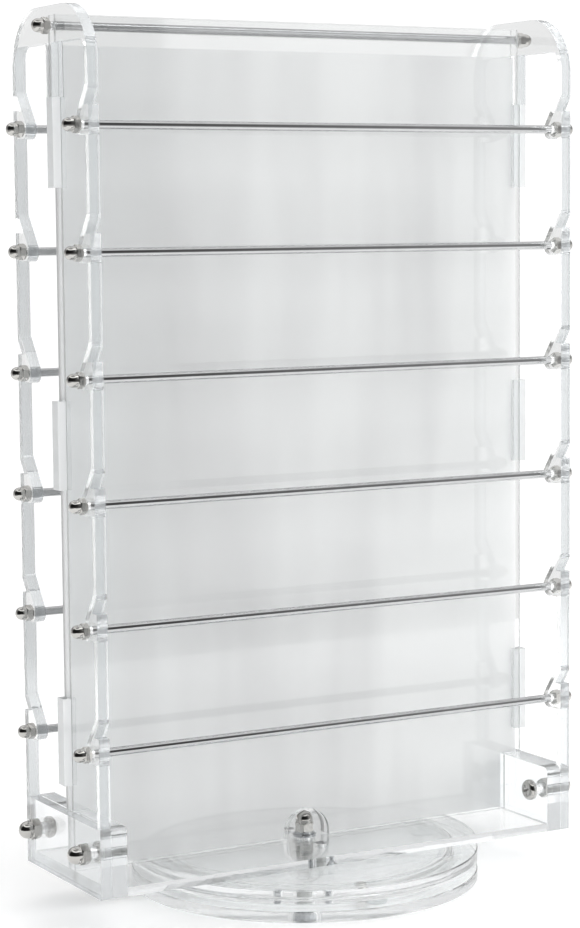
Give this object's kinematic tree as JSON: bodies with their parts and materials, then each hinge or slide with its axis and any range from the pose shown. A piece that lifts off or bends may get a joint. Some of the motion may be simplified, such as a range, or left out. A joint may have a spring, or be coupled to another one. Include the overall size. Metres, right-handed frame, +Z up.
{
  "type": "eyeglass display rack",
  "caption": "Two-sided rotating counter-top spectacle rack: clear acrylic side frames and panel, chrome rods on both faces, clear tray on a round ball-bearing turntable.",
  "frame": {"origin": "centre of the round base on the surface it stands on", "axes": "+Z up, +X along the rods towards the right side frame, -Y out of the front face"},
  "size_m": [0.418, 0.255, 0.6298],
  "materials": {
    "clear_acrylic": "gloss",
    "milky_acrylic": "satin",
    "chrome": "polished",
    "zinc_steel": "satin",
    "nylon": "satin",
    "foot_rubber": "matte"
  },
  "bodies": {
    "base": {"base_disc": "clear_acrylic", "feet": "foot_rubber", "pivot_bolt": "zinc_steel", "thrust_spacer": "nylon", "pivot_flat_washer": "zinc_steel", "pivot_lock_washer": "zinc_steel", "pivot_nut": "chrome"},
    "rack": {"turntable_disc": "clear_acrylic", "pivot_bush": "nylon", "turntable_screws": "zinc_steel", "tray_floor": "clear_acrylic", "tray_end_left": "clear_acrylic", "tray_end_right": "clear_acrylic", "side_frame_left": "clear_acrylic", "side_frame_right": "clear_acrylic", "front_sheet": "clear_acrylic", "rear_sheet": "clear_acrylic", "frosted_insert": "milky_acrylic", "end_plates_left": "clear_acrylic", "end_plates_right": "clear_acrylic", "front_rod_1": "chrome", "front_rod_2": "chrome", "front_rod_3": "chrome", "front_rod_4": "chrome", "front_rod_5": "chrome", "front_rod_6": "chrome", "rear_rod_1": "chrome", "rear_rod_2": "chrome", "rear_rod_3": "chrome", "rear_rod_4": "chrome", "rear_rod_5": "chrome", "rear_rod_6": "chrome", "top_rod": "chrome", "rod_nuts_left": "chrome", "rod_nuts_right": "chrome", "tray_screws": "chrome", "tray_nuts": "chrome"},
    "cage": {"ball_cage": "clear_acrylic", "bearing_balls": "zinc_steel"}
  },
  "joints": [
    {"name": "rack_spin", "type": "hinge", "parent": "base", "child": "rack", "pos_m": [0, 0, 0.0153], "axis": [0, 0, 1], "continuous": true},
    {"name": "cage_spin", "type": "hinge", "parent": "base", "child": "cage", "pos_m": [0, 0, 0.01265], "axis": [0, 0, 1], "continuous": true}
  ],
  "couplings": [
    {"joint": "cage_spin", "follows": "rack_spin", "ratio": 0.5}
  ]
}
